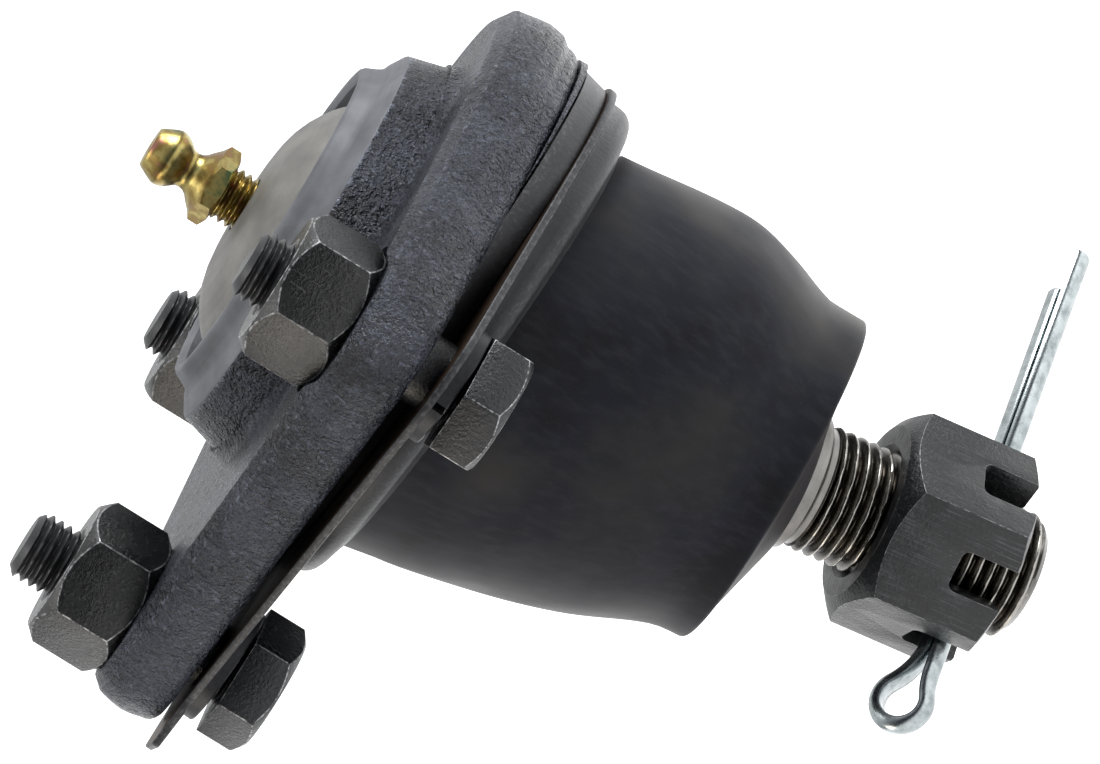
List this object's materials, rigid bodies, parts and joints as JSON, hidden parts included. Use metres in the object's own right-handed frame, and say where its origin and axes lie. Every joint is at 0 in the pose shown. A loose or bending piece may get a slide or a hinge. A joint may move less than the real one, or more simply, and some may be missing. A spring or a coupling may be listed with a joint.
{
  "type": "suspension ball joint",
  "caption": "Bolt-on suspension ball joint: flanged housing with domed cover, leaning tapered stud, rubber boot, castle nut and cotter pin.",
  "frame": {"origin": "where the housing's axis meets the flange's upper face, the seat of the control arm", "axes": "+Z out of the domed cover, against the stud; +X towards the flange's long lobe; +Y towards the near lobe"},
  "size_m": [0.1024, 0.093, 0.108],
  "materials": {
    "black_forging": "black scale, pebbly on the boss, smooth on the flange",
    "machined_cover": "satin, turned",
    "sintered_bearing": "matt",
    "spring_steel": "blued",
    "ground_stud": "ground and turned, bright",
    "castle_nut_steel": "grey zinc phosphate",
    "bright_zinc": "bright zinc",
    "yellow_zinc": "yellow passivated zinc",
    "pressed_steel": "grey phosphate with bright cut edges",
    "dark_hardware": "dark plated, worn to grey on the corners",
    "boot_rubber": "matt black with a dusty bloom"
  },
  "bodies": {
    "housing_group": {"housing": "black_forging", "cover_plate": "machined_cover", "preload_washer": "spring_steel", "upper_bearing": "sintered_bearing", "lower_bearing": "sintered_bearing", "grease_fitting": "yellow_zinc", "grease_check_spring": "spring_steel", "boot_retainer_plate": "pressed_steel", "backing_ring": "pressed_steel", "flange_bolt_front": "dark_hardware", "flange_nut_front": "dark_hardware", "lock_washer_front": "spring_steel", "flange_bolt_left": "dark_hardware", "flange_nut_left": "dark_hardware", "lock_washer_left": "spring_steel", "flange_bolt_right": "dark_hardware", "flange_nut_right": "dark_hardware", "lock_washer_right": "spring_steel"},
    "boot_group": {"dust_boot": "boot_rubber"},
    "boot_lip_group": {"boot_lip_ring": "spring_steel"},
    "stud_group": {"ball_stud": "ground_stud", "castle_nut": "castle_nut_steel", "cotter_pin": "bright_zinc"},
    "check_ball_group": {"grease_check_ball": "ground_stud"}
  },
  "joints": [
    {"name": "stud_lean", "type": "hinge", "parent": "housing_group", "child": "boot_group", "pos_m": [0, 0, -0.0108], "axis": [-0.6678, 0.7443, 0], "range_deg": [-30.3, 5.7], "deforming": ["dust_boot"]},
    {"name": "stud_side_tilt", "type": "hinge", "parent": "boot_group", "child": "boot_lip_group", "pos_m": [0, 0, -0.0108], "axis": [-0.7272, -0.6525, 0.213], "range_deg": [-18, 18]},
    {"name": "stud_spin", "type": "hinge", "parent": "boot_lip_group", "child": "stud_group", "pos_m": [0, 0, -0.0108], "axis": [-0.1586, -0.1423, -0.977], "continuous": true},
    {"name": "grease_check_slide", "type": "slide", "parent": "housing_group", "child": "check_ball_group", "axis": [0, 0, -1], "range_m": [0, 0.0009], "stiffness_N_per_m": 150, "springref_m": -0.001, "deforming": ["grease_check_spring"]}
  ]
}
